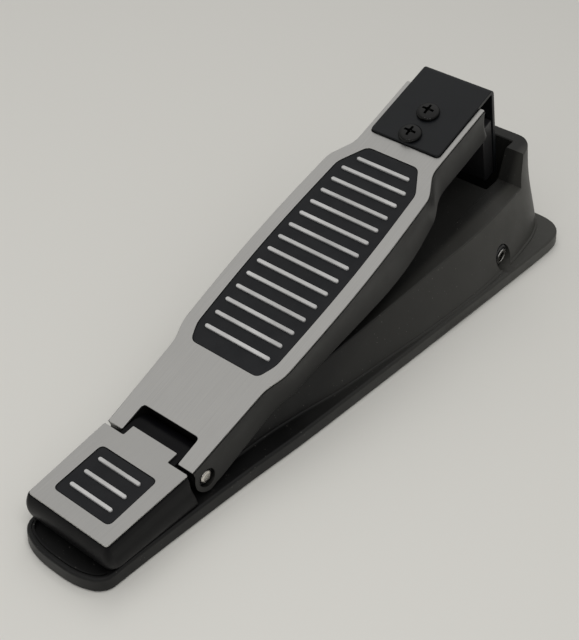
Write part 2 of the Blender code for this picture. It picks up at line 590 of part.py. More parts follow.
# ------------------------------------------------------------------ position sensor, socket, wires
def make_sensor():
    pot = prism("pot_body", rectangle(-19.5, -9.5, 283.0, 289.6), 3.0, 30.0, "small plastic")
    cut(pot, prism("slider_groove", rectangle(-16.3, -12.7, 288.0, 292.0), 4.2, 28.8))
    _, finger_y, finger_z = on_board(0, FINGER_STATION, FINGER_END)
    tab_top = finger_z - 1.1
    carriage = rectangle(-16.0, -13.0, 288.3, 291.0)
    slider = prism("pot_slider", carriage, tab_top - 3.0, tab_top + 1.5, "small plastic")
    join(slider, prism("slider_tab", rectangle(-15.7, -13.3, 290.0, finger_y + 1.5), tab_top - 1.8, tab_top))


def make_socket():
    outline = rectangle(25.5, 41.8, SOCKET_Y - 8.0, SOCKET_Y + 8.0)
    jack = prism("jack_body", outline, 6.1, 21.0, "small plastic")
    join(jack, turned("jack_nose", (0, SOCKET_Y, SOCKET_Z), "x", [(4.5, 38.0), (4.5, 49.2), (4.1, 49.6)], 20))
    cut(jack, turned("plug_bore", (0, SOCKET_Y, SOCKET_Z), "x", [(3.3, 29.0), (3.3, 60.0)], 20))
    sleeve("jack_nut", (0, SOCKET_Y, SOCKET_Z), "x", 6.3, 4.62, 47.3, 48.9, 24, "bright steel")


def slack(start, rise, fall, end, steps=10):
    """Cubic curve from start to end, pulled towards the two points between."""
    path = []
    for i in range(steps + 1):
        t = i / steps
        weights = ((1 - t) ** 3, 3 * t * (1 - t) ** 2, 3 * t * t * (1 - t), t ** 3)
        path.append(tuple(sum(w * p[k] for w, p in zip(weights, (start, rise, fall, end))) for k in range(3)))
    return path


def make_wires():
    runs = (("jack_wire_1", (14.0, 252.0, 11.6), (15.0, 262.0, 19.0), (18.0, 272.0, 18.0),
             (25.1, 272.0, 16.0), "red wire"),
            ("jack_wire_2", (17.5, 249.0, 11.6), (20.0, 262.0, 17.0), (20.0, 279.0, 12.0),
             (25.1, 279.0, 11.0), "small plastic"),
            ("sensor_wire", (-12.0, 254.0, 11.6), (-12.0, 264.0, 18.0), (-14.5, 270.0, 14.0),
             (-14.5, 282.6, 12.0), "red wire"))
    for name, *points, finish in runs:
        wire(name, slack(*points), 0.7, 6, finish)


# ------------------------------------------------------------------ joints
def turn_about(names, pivot, axis_name):
    """Puts the parts' origins on their joint's axis, under an empty that stands for it."""
    joint = bpy.data.objects.new(axis_name, None)
    joint.location = pivot
    pedal.objects.link(joint)
    for name in names:
        part = bpy.data.objects[name]
        part.data.transform(Matrix.Translation(-pivot))
        part.parent = joint


def set_joints():
    riders = ("tread_", "footboard_", "bracket", "hinge_bush", "guide_block", "stop_")
    moving = [part.name for part in pedal.objects if part.name.startswith(riders)]
    turn_about(moving, to_metres(0, PIN_Y, PIN_Z), "footboard_hinge")
    _, finger_y, finger_z = on_board(0, FINGER_STATION, FINGER_END)
    turn_about(["pot_slider"], to_metres(-14.5, finger_y, finger_z), "sensor_travel")


make_base_housing()
make_underside()
make_heel()
make_footboard()
make_bracket()
make_hinge()
make_spring()
make_stops()
make_sensor()
make_socket()
make_wires()
set_joints()
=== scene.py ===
# Looks of the spring-return foot controller pedal.
# Lengths are millimetres in the pedal's working frame: x to the socket side, y from the heel edge to the
# toe, z up from the housing's lower edge. at() moves them into the CAD frame, and fit() makes them metres.
# Materials, lights and the camera are in metres.
import math

import bmesh
import bpy
from mathutils import Matrix, Vector


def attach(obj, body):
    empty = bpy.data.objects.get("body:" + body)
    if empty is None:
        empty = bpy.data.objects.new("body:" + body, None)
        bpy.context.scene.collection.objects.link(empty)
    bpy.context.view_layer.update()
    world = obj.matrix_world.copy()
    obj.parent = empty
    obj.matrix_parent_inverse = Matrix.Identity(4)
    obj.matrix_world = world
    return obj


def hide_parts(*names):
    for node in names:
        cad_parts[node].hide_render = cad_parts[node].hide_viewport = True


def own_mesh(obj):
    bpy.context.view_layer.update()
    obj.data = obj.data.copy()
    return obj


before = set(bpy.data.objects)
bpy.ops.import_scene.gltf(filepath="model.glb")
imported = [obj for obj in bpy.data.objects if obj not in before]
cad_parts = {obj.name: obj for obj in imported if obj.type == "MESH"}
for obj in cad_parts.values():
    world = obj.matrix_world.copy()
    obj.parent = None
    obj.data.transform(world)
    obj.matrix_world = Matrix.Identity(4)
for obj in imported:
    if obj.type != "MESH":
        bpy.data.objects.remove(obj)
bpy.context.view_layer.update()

HEEL_TO_MIDDLE, FEET_DROP = 160.0, 0.8
BOARD_PITCH = math.radians(15.83)
HEEL_PITCH = math.radians(1.45)
BOARD_COS, BOARD_SIN = math.cos(BOARD_PITCH), math.sin(BOARD_PITCH)
BOARD_START = (50.4, 25.6)        # y, z where the footboard's face begins
HEEL_START = (-0.6, 25.3)         # y, z where the heel plate's face begins
PIN_Y, PIN_Z = 58.2, 15.8
TURN = 2 * math.pi


# ------------------------------------------------------------------ frames
def at(x, y, z):
    return Vector((x, y - HEEL_TO_MIDDLE, z + FEET_DROP))


def on_board(x, s, n):
    """s runs up the footboard from its heel end, n out of its face."""
    y0, z0 = BOARD_START
    return at(x, y0 + s * BOARD_COS - n * BOARD_SIN, z0 + s * BOARD_SIN + n * BOARD_COS)


def on_heel(x, s, n):
    y0, z0 = HEEL_START
    c, q = math.cos(HEEL_PITCH), math.sin(HEEL_PITCH)
    return at(x, y0 + s * c - n * q, z0 + s * q + n * c)


def unplaced(*point):
    """For a shape that is already where it belongs, or is put in place later."""
    return Vector(point)


# ------------------------------------------------------------------ outlines
def mirrored(half):
    """Right-hand half outline, front to rear, made whole."""
    return half + [(-x, y) for x, y in reversed(half) if x > 1e-6]


def inset(points, d):
    """A counter-clockwise outline moved inwards by d."""
    moved = []
    for i, here in enumerate(points):
        a, b, c = Vector(points[i - 1]), Vector(here), Vector(points[(i + 1) % len(points)])
        e, f = (b - a).normalized(), (c - b).normalized()
        m = Vector((-e.y - f.y, e.x + f.x))
        q = b + m * (2.0 * d / max(m.length_squared, 1e-9))
        moved.append((q.x, q.y))
    return moved


def softened(points, radii, steps=5):
    """Every corner of a closed outline rounded over its own distance."""
    out = []
    for i, here in enumerate(points):
        a, b, c = Vector(points[i - 1]), Vector(here), Vector(points[(i + 1) % len(points)])
        r = radii[i] if isinstance(radii, (list, tuple)) else radii
        if r == 0.0:
            out.append(tuple(here))
            continue
        p = b + (a - b).normalized() * min(r, (a - b).length * 0.45)
        q = b + (c - b).normalized() * min(r, (c - b).length * 0.45)
        for j in range(steps + 1):
            t = j / steps
            m = p * (1 - t) ** 2 + b * 2 * t * (1 - t) + q * t ** 2
            out.append((m.x, m.y))
    return out


def rectangle(x0, x1, y0, y1, r=0.0, steps=5):
    corners = [(x1, y0), (x1, y1), (x0, y1), (x0, y0)]
    return softened(corners, r, steps) if r else corners


def track(rows):
    """A smooth curve through rows of (position, value, ...)."""
    def value(p):
        k = 0
        while k < len(rows) - 2 and p > rows[k + 1][0]:
            k += 1
        a, b = rows[k], rows[k + 1]
        h = b[0] - a[0]
        t = (p - a[0]) / h
        out = []
        for j in range(1, len(a)):
            slope = (b[j] - a[j]) / h
            before = (a[j] - rows[k - 1][j]) / (a[0] - rows[k - 1][0]) if k else slope
            after = (rows[k + 2][j] - b[j]) / (rows[k + 2][0] - b[0]) if k + 2 < len(rows) else slope
            m, w = (before + slope) / 2 * h, (after + slope) / 2 * h
            if t < 0 or t > 1:
                out.append(a[j] + slope * (p - a[0]))
            else:
                out.append(a[j] * (2 * t ** 3 - 3 * t ** 2 + 1) + m * (t ** 3 - 2 * t ** 2 + t)
                           + b[j] * (3 * t ** 2 - 2 * t ** 3) + w * (t ** 3 - t ** 2))
        return out
    return value


# ------------------------------------------------------------------ solids
def solid(name, verts, faces):
    mesh = bpy.data.meshes.new(name)
    mesh.from_pydata(verts, [], faces)
    bm = bmesh.new()
    bm.from_mesh(mesh)
    bmesh.ops.recalc_face_normals(bm, faces=bm.faces)
    bm.to_mesh(mesh)
    bm.free()
    obj = bpy.data.objects.new(name, mesh)
    bpy.context.scene.collection.objects.link(obj)
    return obj


def loft(name, rings, place=at):
    """Closed solid through rings that have the same number of points."""
    n = len(rings[0])
    verts = [place(*p) for ring in rings for p in ring]
    faces = [(k * n + i, k * n + (i + 1) % n, (k + 1) * n + (i + 1) % n, (k + 1) * n + i)
             for k in range(len(rings) - 1) for i in range(n)]
    faces.append(tuple(range(n - 1, -1, -1)))
    faces.append(tuple((len(rings) - 1) * n + i for i in range(n)))
    return solid(name, verts, faces)


def prism(name, outline, low, high, place=at, edge=0.0, foot=0.0, along="z", steps=3):
    """Outline swept from low to high, its top edge rounded by edge and its bottom edge by foot."""
    levels = []
    for r, end, sign in ((foot, low, 1), (edge, high, -1)):
        if r:
            turn = [(r * (1 - math.sin(a)), end + sign * r * (1 - math.cos(a)))
                    for a in (math.pi / 2 * k / steps for k in range(steps + 1))]
        else:
            turn = [(0.0, end)]
        levels += turn if sign > 0 else turn[::-1]
    rings = []
    for d, h in levels:
        ring = inset(outline, d) if d else outline
        rings.append([(a, b, h) if along == "z" else (h, a, b) for a, b in ring])
    return loft(name, rings, place)


def turned(name, centre, axis, profile, place=at, segments=48):
    """Solid of revolution through (radius, distance along axis)."""
    rings = []
    for r, h in profile:
        ring = []
        for i in range(segments):
            u, v = r * math.cos(TURN * i / segments), r * math.sin(TURN * i / segments)
            step = (u, v, h) if axis == "z" else (h, u, v)
            ring.append(tuple(c + d for c, d in zip(centre, step)))
        rings.append(ring)
    return loft(name, rings, place)


def ring(name, centre, profile, segments=48):
    """Ring round an axis along x: profile is a closed loop of (radius, distance along the axis)."""
    n = len(profile)
    verts = []
    for i in range(segments):
        for r, h in profile:
            u, v = r * math.cos(TURN * i / segments), r * math.sin(TURN * i / segments)
            verts.append(at(*(c + d for c, d in zip(centre, (h, u, v)))))
    faces = []
    for i in range(segments):
        here, after = i * n, (i + 1) % segments * n
        faces += [(here + k, here + (k + 1) % n, after + (k + 1) % n, after + k) for k in range(n)]
    return solid(name, verts, faces)


def tube(name, points, radius, sides=12):
    """Round wire through points of the CAD frame."""
    rings = []
    side = None
    for i, p in enumerate(points):
        t = (points[min(i + 1, len(points) - 1)] - points[max(i - 1, 0)]).normalized()
        if side is None:
            side = t.cross(Vector((0, 0, 1))).normalized() if abs(t.z) < 0.95 else Vector((1, 0, 0))
        side = (side - t * side.dot(t)).normalized()
        up = side.cross(t)
        rings.append([p + radius * (math.cos(TURN * k / sides) * side + math.sin(TURN * k / sides) * up)
                      for k in range(sides)])
    return loft(name, rings, unplaced)


def baked(obj):
    """The object with its modifiers applied."""
    bpy.context.view_layer.update()
    mesh = bpy.data.meshes.new_from_object(obj.evaluated_get(bpy.context.evaluated_depsgraph_get()))
    obj.modifiers.clear()
    obj.data = mesh
    return obj


def combine(obj, tools, operation):
    for tool in tools:
        m = obj.modifiers.new("combine", "BOOLEAN")
        m.operation = operation
        m.solver = "MANIFOLD"
        m.object = tool
    baked(obj)
    for tool in tools:
        bpy.data.objects.remove(tool)
    return obj


def cut(obj, *tools):
    return combine(obj, tools, "DIFFERENCE")


def join(obj, *tools):
    return combine(obj, tools, "UNION")


def round_edges(obj, width, segments=2, angle=35.0):
    m = obj.modifiers.new("edges", "BEVEL")
    m.width = width
    m.segments = segments
    m.limit_method = "ANGLE"
    m.angle_limit = math.radians(angle)
    return baked(obj)


def fit(obj, body, slot, material, *nodes, smooth=32.0):
    """Makes the piece metres, shades it, gives it its material, and puts it on its body."""
    obj.data.transform(Matrix.Scale(0.001, 4))
    obj.data.shade_smooth()
    obj.data.set_sharp_from_angle(angle=math.radians(smooth))
    flats = obj.modifiers.new("flats", "WEIGHTED_NORMAL")
    flats.keep_sharp = True
    obj.data.materials.clear()
    obj.data.materials.append(material)
    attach(obj, body)
    if nodes:
        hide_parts(*nodes)
    return obj


# ------------------------------------------------------------------ materials
def new_material(name, colour, rough, metal=0.0, specular=0.5):
    material = bpy.data.materials.new(name)
    material.use_nodes = True
    shader = material.node_tree.nodes["Principled BSDF"]
    shader.inputs["Base Color"].default_value = (*colour, 1.0)
    shader.inputs["Roughness"].default_value = rough
    shader.inputs["Metallic"].default_value = metal
    shader.inputs["Specular IOR Level"].default_value = specular
    return material, material.node_tree, shader


def pattern(tree, size, detail=3.0, rotation=(0.0, 0.0, 0.0), roughness=0.55):
    """Noise whose grains measure size, in metres along each axis of a turned frame."""
    coordinates = tree.nodes.new("ShaderNodeTexCoord")
    mapping = tree.nodes.new("ShaderNodeMapping")
    mapping.vector_type = "TEXTURE"
    mapping.inputs["Rotation"].default_value = rotation
    mapping.inputs["Scale"].default_value = size if isinstance(size, tuple) else (size, size, size)
    noise = tree.nodes.new("ShaderNodeTexNoise")
    noise.inputs["Scale"].default_value = 1.0
    noise.inputs["Detail"].default_value = detail
    noise.inputs["Roughness"].default_value = roughness
    tree.links.new(coordinates.outputs["Object"], mapping.inputs["Vector"])
    tree.links.new(mapping.outputs["Vector"], noise.inputs["Vector"])
    return noise.outputs["Fac"]


def remap(tree, source, low, high, to_low, to_high):
    node = tree.nodes.new("ShaderNodeMapRange")
    for socket, value in (("From Min", low), ("From Max", high), ("To Min", to_low), ("To Max", to_high)):
        node.inputs[socket].default_value = value
    tree.links.new(source, node.inputs["Value"])
    return node.outputs["Result"]


def colours(tree, factor, first, second):
    """first where factor is 0, second where it is 1; either may be a socket."""
    node = tree.nodes.new("ShaderNodeMix")
    node.data_type = "RGBA"
    tree.links.new(factor, node.inputs["Factor"])
    for socket, value in ((node.inputs[6], first), (node.inputs[7], second)):
        if isinstance(value, tuple):
            socket.default_value = (*value, 1.0)
        else:
            tree.links.new(value, socket)
    return node.outputs[2]


def object_axes(tree):
    """Sockets that give a point's x, y and z in metres."""
    split = tree.nodes.new("ShaderNodeSeparateXYZ")
    tree.links.new(tree.nodes.new("ShaderNodeTexCoord").outputs["Object"], split.inputs[0])
    return split.outputs


def worked_out(tree, operation, *terms):
    node = tree.nodes.new("ShaderNodeMath")
    node.operation = operation
    for term, socket in zip(terms, node.inputs):
        tree.links.new(term, socket)
    return node.outputs[0]


def relief(tree, shader, height, strength, depth):
    node = tree.nodes.new("ShaderNodeBump")
    node.inputs["Strength"].default_value = strength
    node.inputs["Distance"].default_value = depth
    tree.links.new(height, node.inputs["Height"])
    tree.links.new(node.outputs["Normal"], shader.inputs["Normal"])


def scaled(colour, k):
    return tuple(c * k for c in colour)


DUST = (0.30, 0.29, 0.27)
# where the base's toe tint begins and is full: along the pedal, and out from its middle; and the share of it
# left on the deck, kept low as painted shade under the footboard
TINT_ALONG, TINT_ASIDE, TINT_ON_DECK_PAINTED_SHADE = (-0.06, 0.16), (0.031, 0.035), 0.25


def moulded(name, colour, rough, grain=0.00045, strength=0.16, dust=0.0, specular=0.5, toe_tint=None):
    """Moulded plastic: fine spark grain, slow changes of shade, specks of dust, and toe_tint laid over the
    outer walls more and more towards the toe, with only a quarter of it on the deck as painted shade under
    the footboard."""
    material, tree, shader = new_material(name, colour, rough, specular=specular)
    slow = pattern(tree, 0.03, 4.0)
    shade = colours(tree, remap(tree, slow, 0.35, 0.65, 0.0, 1.0), scaled(colour, 0.8), scaled(colour, 1.2))
    if toe_tint:
        axes = object_axes(tree)
        toewards = remap(tree, axes["Y"], *TINT_ALONG, 0.0, 1.0)
        # the deck between the walls keeps only a quarter of the tint: painted shade under the footboard
        outwards_painted_deck_shade = remap(tree, worked_out(tree, "ABSOLUTE", axes["X"]), *TINT_ASIDE, TINT_ON_DECK_PAINTED_SHADE, 1.0)
        shade = colours(tree, worked_out(tree, "MULTIPLY", toewards, outwards_painted_deck_shade), shade, toe_tint)
    if dust:
        specks = remap(tree, pattern(tree, 0.0011, 1.0), 0.745, 0.775, 0.0, dust)
        shade = colours(tree, specks, shade, DUST)
    tree.links.new(shade, shader.inputs["Base Color"])
    smear = pattern(tree, 0.012, 3.0)
    tree.links.new(remap(tree, smear, 0.3, 0.7, rough - 0.05, rough + 0.06), shader.inputs["Roughness"])
    relief(tree, shader, pattern(tree, grain, 2.0), strength, 0.00006)
    return material


def brushed(name, colour, rough, pitch):
    """Silver sheet brushed along the pedal."""
    material, tree, shader = new_material(name, colour, rough, 1.0)
    lines = pattern(tree, (0.00022, 0.028, 0.00022), 3.0, (pitch, 0.0, 0.0), 0.6)
    cloud = pattern(tree, 0.045, 3.0)
    light = remap(tree, lines, 0.25, 0.75, 0.0, 1.0)
    shade = colours(tree, light, scaled(colour, 0.90), scaled(colour, 1.08))
    handled = remap(tree, cloud, 0.35, 0.68, 0.0, 0.22)
    shade = colours(tree, handled, shade, scaled(colour, 0.82))
    tree.links.new(shade, shader.inputs["Base Color"])
    tree.links.new(remap(tree, lines, 0.25, 0.75, rough - 0.05, rough + 0.07), shader.inputs["Roughness"])
    relief(tree, shader, lines, 0.22, 0.00002)
    return material


def rubber(name, colour, rough=0.62, grain=0.0005):
    material, tree, shader = new_material(name, colour, rough, specular=0.4)
    speck = pattern(tree, grain, 2.0)
    tree.links.new(colours(tree, remap(tree, speck, 0.3, 0.7, 0.0, 1.0), scaled(colour, 0.8),
                           scaled(colour, 1.25)), shader.inputs["Base Color"])
    tree.links.new(remap(tree, pattern(tree, 0.01, 3.0), 0.3, 0.7, rough - 0.06, rough + 0.08),
                   shader.inputs["Roughness"])
    relief(tree, shader, speck, 0.3, 0.00008)
    return material


def metal(name, colour, rough):
    material, tree, shader = new_material(name, colour, rough, 1.0)
    grain = pattern(tree, 0.0006, 3.0)
    tree.links.new(colours(tree, remap(tree, grain, 0.3, 0.7, 0.0, 1.0), scaled(colour, 0.85),
                           scaled(colour, 1.1)), shader.inputs["Base Color"])
    tree.links.new(remap(tree, grain, 0.3, 0.7, rough * 0.75, rough * 1.3), shader.inputs["Roughness"])
    relief(tree, shader, grain, 0.12, 0.00003)
    return material


def powder_coat(name, colour, rough, peel=0.0009, strength=0.14, specular=0.5):
    """Paint baked on steel: a soft orange-peel surface."""
    material, tree, shader = new_material(name, colour, rough, specular=specular)
    skin = pattern(tree, peel, 2.0)
    tree.links.new(colours(tree, remap(tree, pattern(tree, 0.02, 3.0), 0.35, 0.65, 0.0, 1.0),
                           scaled(colour, 0.92), scaled(colour, 1.08)), shader.inputs["Base Color"])
    tree.links.new(remap(tree, skin, 0.3, 0.7, rough - 0.03, rough + 0.04), shader.inputs["Roughness"])
    relief(tree, shader, skin, strength, 0.0001)
    return material


BASE_BLACK = moulded("base_black", (0.0040, 0.0041, 0.0042), 0.42, dust=0.25, specular=0.35,
                     toe_tint=(0.044, 0.0435, 0.0395))
COVER_BLACK = moulded("cover_black", (0.020, 0.020, 0.020), 0.52)
HEEL_BLACK = moulded("heel_black", (0.0022, 0.0022, 0.0028), 0.38, strength=0.08, specular=0.15)
BOARD_BLACK = moulded("board_black", (0.0075, 0.0075, 0.0070), 0.36, strength=0.08, specular=0.35)
GUIDE_BLACK = moulded("guide_black", (0.014, 0.014, 0.015), 0.35, strength=0.08)
PART_BLACK = moulded("part_black", (0.012, 0.012, 0.013), 0.35, strength=0.08)
PLATE_SILVER = brushed("board_silver", (0.62, 0.615, 0.60), 0.40, BOARD_PITCH)
HEEL_SILVER = brushed("heel_silver", (0.62, 0.615, 0.60), 0.40, HEEL_PITCH)
PAD_BLACK = rubber("pad_black", (0.0075, 0.0082, 0.0100))
SOFT_BLACK = rubber("soft_black", (0.014, 0.014, 0.014), 0.75, 0.0008)
BAR_SILVER = moulded("bar_silver", (0.50, 0.50, 0.50), 0.40, 0.0005, 0.08)
BRACKET_BLACK = powder_coat("bracket_black", (0.0050, 0.0060, 0.0075), 0.40, specular=0.36)
SCREW_BLACK = powder_coat("screw_black", (0.0020, 0.0020, 0.0020), 0.10, strength=0.02, specular=0.45)
ZINC = metal("zinc", (0.60, 0.60, 0.61), 0.30)
PIN_STEEL = metal("pin_steel", (0.72, 0.69, 0.64), 0.26)
SPRING_STEEL = metal("spring_steel", (0.55, 0.55, 0.57), 0.28)
NICKEL = metal("nickel", (0.70, 0.69, 0.66), 0.18)
BOARD_GREEN = powder_coat("board_green", (0.020, 0.150, 0.060), 0.30)
WIRE_RED = powder_coat("wire_red", (0.30, 0.03, 0.02), 0.35)


# ------------------------------------------------------------------ base housing
FLANGE = [(0, -11.9), (6, -11.8), (12, -11.1), (17, -9.7), (20.8, -8.0), (23.5, -5.7), (25.1, -3.0),
          (25.7, 0.5), (26.1, 5), (27.5, 18.5), (30.9, 47.6), (35.0, 80), (39.3, 109), (44.4, 151),
          (50.6, 205), (57.2, 264.6), (61.1, 303), (61.8, 313), (61.2, 319.6), (58.8, 324.8), (54.6, 328.4),
          (49.0, 330.2), (40, 330.8), (0, 330.8)]
FLANGE_TOP = 7.5
# y, half width at the foot of the wall, half width at the deck, deck height
WALL_START = 73.6
WALL = track([(WALL_START, 22.6, 20.0, 13.8), (80.0, 23.8, 20.7, 15.0), (101, 26.8, 22.6, 18.6),
              (121, 31.0, 25.4, 21.8), (144.7, 36.9, 29.1, 25.4), (172, 41.6, 32.9, 28.9),
              (201, 46.5, 36.6, 32.2), (223, 49.6, 38.7, 34.2), (253, 52.6, 41.2, 35.5),
              (283, 53.3, 41.2, 36.3), (300, 52.1, 40.3, 36.4), (318, 49.8, 39.2, 36.4)])
SIDE_WALL, WALL_FOOT_THICK, DECK_THICK = 2.7, 3.4, 2.6
WALL_FOOT, KNEE, STEEP_FROM, TOWER_SLOPE = 8.0, 28.0, 46.0, 0.17
DECK_TOP, TOWER_TOP, CORNER_START = 36.4, 55.0, 306.0
TOWER_FRONT, TOWER_LEAN = 308.0, 0.2366        # the tower's front face: y at the deck, and slope
SLOT = (-25.4, 25.4, 295.5, 320.0)
JACK_Y, JACK_Z = 275.5, 13.6
COVER_SCREWS = [(14.0, 92.0), (-14.0, 92.0), (30.0, 236.0), (-30.0, 236.0)]
SPRING_Y = on_board(0, 168.0, -14.0).y + HEEL_TO_MIDDLE


def flowing(points, step):
    """Closed outline through the points as one smooth curve."""
    wrapped = points[-3:] + points + points[:3]
    rows, length = [], 0.0
    for i, p in enumerate(wrapped):
        length += math.dist(p, wrapped[i - 1]) if i else 0.0
        rows.append((length, *p))
    value, start, end = track(rows), rows[3][0], rows[3 + len(points)][0]
    n = round((end - start) / step)
    return [tuple(value(start + (end - start) * k / n)) for k in range(n)]


def wall_x(y, z):
    """Half width of the housing's wall: one draft up to the knee, then easing into the steeper tower."""
    foot, edge, top = WALL(y)
    draft = (foot - edge) / (top - WALL_FOOT)
    if z <= KNEE:
        return foot - draft * (z - WALL_FOOT)
    h = min(z, STEEP_FROM) - KNEE
    ease = draft * h - (draft - TOWER_SLOPE) * h * h / (2 * (STEEP_FROM - KNEE))
    return foot - draft * (KNEE - WALL_FOOT) - ease - TOWER_SLOPE * max(0.0, z - STEEP_FROM)


def wall_outline(z, grow=0.0):
    """Plan of the wall at a height, with the rounded rear corners."""
    up = (z - WALL_FOOT) / (TOWER_TOP - WALL_FOOT)
    rear, end_x = 329.2 - 1.1 * up, 34.0 - 9.8 * up
    steps = 58
    half = []
    for i in range(steps + 1):
        y = WALL_START + (CORNER_START - WALL_START) * i / steps
        half.append((wall_x(y, z) + grow, y - (grow if i == 0 else 0.0)))
    x0 = half[-1][0] - grow
    a = (x0, CORNER_START)
    b = (x0 - 0.2 * (1 - up) * 0.72 * (rear - CORNER_START), CORNER_START + 0.72 * (rear - CORNER_START))
    c, d = (end_x + 0.55 * (x0 - end_x), rear), (end_x, rear)
    for i in range(1, 17):
        t = i / 16
        x, y = (p * (1 - t) ** 3 + q * 3 * t * (1 - t) ** 2 + r * 3 * t * t * (1 - t) + s * t ** 3
                for p, q, r, s in zip(a, b, c, d))
        half.append((x + grow * (1 - t), y + grow * t))
    return mirrored(half)


def deck_cutter():
    """All that lies above the sloping deck, with its rounded edge, as far as the tower's leaning front."""
    draft, r = math.radians(21.5), 1.1
    rings = []
    stations = [60.0] + [74.0 + 4.0 * i for i in range(59)] + [TOWER_FRONT]
    for y in stations:
        top = WALL(max(y, WALL_START))[2]
        edge = wall_x(max(y, WALL_START), top)
        cx = edge - r * (1 - math.sin(draft)) / math.cos(draft)
        half = [(0.0, top)]
        for k in range(6):
            a = math.pi / 2 - (math.pi / 2 - draft) * k / 5
            half.append((cx + r * math.cos(a), top - r + r * math.sin(a)))
        half += [(cx + 12.0 * math.cos(draft), top - r + 12.0 * math.sin(draft)), (60.0, 80.0), (0.0, 80.0)]
        lean = TOWER_LEAN if y == TOWER_FRONT else 0.0
        whole = half + [(-x, z) for x, z in reversed(half) if x > 1e-6]
        rings.append([(x, y + lean * (z - DECK_TOP), z) for x, z in whole])
    return loft("deck_cutter", rings)


def heel_strip(outline, outer, inner, limit):
    """The part of a band inside the outline that lies round the heel end, as a closed outline."""
    a = sorted((p for p in inset(outline, outer) if p[1] < limit), key=lambda p: p[0])
    b = sorted((p for p in inset(outline, inner) if p[1] < limit), key=lambda p: -p[0])
    return a + b


def base_hollow():
    """The room inside the wedge, with a block left solid round the socket."""
    rings = []
    for y in (80, 101, 121, 144.7, 172, 201, 223, 253, 283, 300, 316):
        foot, edge, top = WALL(y)
        low_x, high_x, high_z = foot - WALL_FOOT_THICK, edge - SIDE_WALL, top - DECK_THICK
        rings.append([(-low_x, y, -2.0), (low_x, y, -2.0), (high_x, y, high_z), (-high_x, y, high_z)])
    hollow = loft("hollow", rings)
    return cut(hollow, prism("socket_seat", rectangle(42.0, 70.0, 264.5, 286.5), 2.6, 24.0))


def deck_lines():
    """The fine raised line on each side of the deck, which fades in over its first half."""
    start, end, steps, height = 253.5, 292.0, 10, 0.22
    right = []
    for i in range(steps + 1):
        y, x = start + (end - start) * i / steps, 28.3 - 1.9 * i / steps
        low = WALL(y)[2] - 0.3
        high = WALL(y)[2] + height * math.sin(math.pi * min(1.0, 2 * i / steps) / 2)
        right.append([(x - 0.5, y, low), (x + 0.5, y, low), (x + 0.35, y, high), (x - 0.35, y, high)])
    return loft("deck_line", right), loft("deck_line_left", [[(-x, y, z) for x, y, z in r] for r in right])


def make_base():
    outline = flowing(mirrored(FLANGE), 2.6)
    rings = [[(x, y, 0.0) for x, y in inset(outline, 0.3)], [(x, y, 0.35) for x, y in outline],
             [(x, y, 5.9) for x, y in inset(outline, 0.45)]]
    r = 1.6
    for k in range(1, 6):
        a = math.pi / 2 * k / 5
        rings.append([(x, y, FLANGE_TOP - r + r * math.sin(a))
                      for x, y in inset(outline, 0.45 + r * (1 - math.cos(a)))])
    base = loft("base_shell", rings)
    levels = [(2.0, 0.85), (8.02, 0.85), (8.27, 0.77), (8.45, 0.56), (8.52, 0.3), (8.55, 0.0)]
    levels += [(z, 0.0) for z in range(12, 54, 3)] + [(54.0, 0.0)]
    levels += [(54.0 + math.sin(a), math.cos(a) - 1.0) for a in (math.pi / 8 * k for k in range(1, 5))]
    wall = loft("wall", [[(x, y, z) for x, y in wall_outline(z, grow)] for z, grow in levels])
    cut(wall, deck_cutter())
    seat = [(11.0, 30.2), (11.0, 34.0), (10.8, 34.45), (10.3, 34.6)]
    join(base, wall, turned("spring_seat", (0, SPRING_Y, 0), "z", seat))
    x0, x1, y0, y1 = SLOT
    flare = rectangle(x0 - 0.6, x1 + 0.6, y0 - 0.6, TOWER_FRONT - 0.4, 1.6)
    crown = rectangle(x0 - 0.5, x1 + 0.5, TOWER_FRONT - 8, y1 + 0.5, 1.4)
    cut(base, base_hollow(), prism("cover_seat", inset(outline, 2.9), -2.0, 2.5),
        prism("slot", rectangle(x0, x1, y0, y1, 1.2), 9.0, 80.0),
        loft("slot_flare", [[(x, y, DECK_TOP - 0.6) for x, y in inset(flare, 0.6)],
                            [(x, y, DECK_TOP + 0.4) for x, y in inset(flare, -0.4)]]),
        loft("notch_flare", [[(x, y, TOWER_TOP - 0.5) for x, y in inset(crown, 0.5)],
                             [(x, y, TOWER_TOP + 0.5) for x, y in inset(crown, -0.5)]]),
        prism("crescent", heel_strip(outline, 3.9, 14.0, 1.0), 6.2, 20.0),
        prism("crescent_groove", heel_strip(outline, 2.5, 3.05, 0.4), 6.9, 20.0),
        turned("socket_recess", (0, JACK_Y, JACK_Z), "x", [(6.9, 47.2), (6.9, 62.0)]),
        turned("socket_hole", (0, JACK_Y, JACK_Z), "x", [(4.7, 40.0), (4.7, 50.0)]),
        turned("bolt_hole", (0, SPRING_Y, 0), "z", [(4.6, 10.0), (4.6, 60.0)]))
    bosses = []
    for x, y in COVER_SCREWS:
        bosses.append(turned("boss", (x, y, 0), "z", [(3.6, 2.6), (3.6, WALL(y)[2] - 1.0)], segments=24))
    join(base, *bosses)
    holes = [(1.35, -2.0), (1.35, 11.0)]
    cut(base, *[turned("boss_hole", (x, y, 0), "z", holes, segments=12) for x, y in COVER_SCREWS])
    join(base, *deck_lines())
    return fit(base, "base", "base_plastic", BASE_BLACK, "base_housing", smooth=28.0)


# ------------------------------------------------------------------ heel block, heel plate, pad and bars
# height, growth of the block below the plate: sides, front, rear, and radius of its front corners
HEEL_LEVELS = track([(7.9, 0.6, -0.6, 2.2, 5.0), (9.5, 1.3, 0.8, 2.1, 4.8), (13.0, 1.9, 2.2, 1.6, 4.4),
                     (17.5, 1.9, 2.5, 1.0, 3.8), (21.5, 1.2, 1.7, 0.8, 2.8), (24.2, 0.45, 0.5, 0.6, 1.8)])
PLATE_THICK, PAD_DROP, BAR_TOP = 0.9, 0.35, 0.7
HEEL_FOOT, HEEL_TOP = 7.9, 24.2


